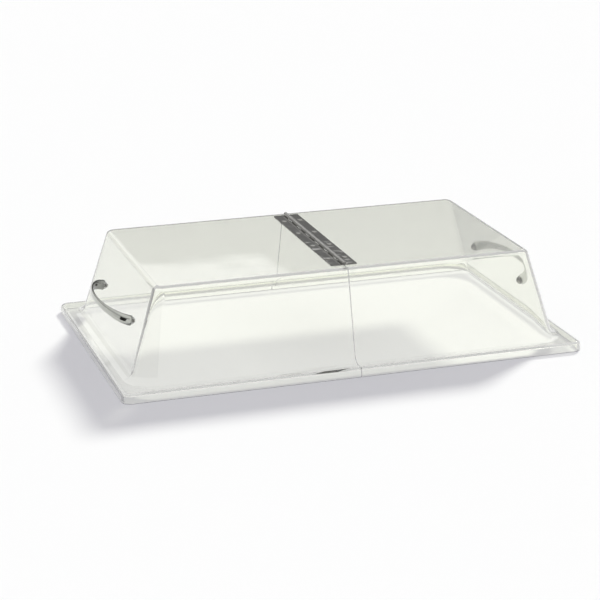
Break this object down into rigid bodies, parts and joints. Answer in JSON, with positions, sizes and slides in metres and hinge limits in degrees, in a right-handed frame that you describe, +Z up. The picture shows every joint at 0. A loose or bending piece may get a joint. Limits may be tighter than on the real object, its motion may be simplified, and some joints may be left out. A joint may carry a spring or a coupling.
{
  "type": "hinged gastronorm lid",
  "caption": "Clear full-size food pan cover in two half shells that fold about a strip hinge across the top, with a chromed bow handle on each end wall.",
  "frame": {"origin": "middle of the cover's footprint, on the plane of the lip's lower edge", "axes": "+X along the length towards the half that lifts, +Y across towards the back, +Z up"},
  "size_m": [0.53, 0.325, 0.1146],
  "materials": {
    "clear_shell": "clear thermoformed polycarbonate, polished",
    "hinge_steel": "stainless strip, fine brushed along its length",
    "rivet_steel": "bright stainless rivet",
    "washer_steel": "plain stainless washer",
    "screw_steel": "stainless pan-head screw",
    "handle_chrome": "bright chromium plate on a zinc casting"
  },
  "bodies": {
    "left_half": {"left_shell": "clear_shell", "left_hinge_leaf": "hinge_steel", "left_hinge_rivets": "rivet_steel", "left_rivet_washers": "washer_steel", "left_handle": "handle_chrome", "left_handle_screws": "screw_steel", "left_handle_washers": "washer_steel", "hinge_pin": "hinge_steel"},
    "right_half": {"right_shell": "clear_shell", "right_hinge_leaf": "hinge_steel", "right_hinge_rivets": "rivet_steel", "right_rivet_washers": "washer_steel", "right_handle": "handle_chrome", "right_handle_screws": "screw_steel", "right_handle_washers": "washer_steel"}
  },
  "joints": [
    {"name": "right_half_lift", "type": "hinge", "parent": "left_half", "child": "right_half", "pos_m": [0, 0, 0.1123], "axis": [0, -1, 0], "range_deg": [0, 180]}
  ]
}
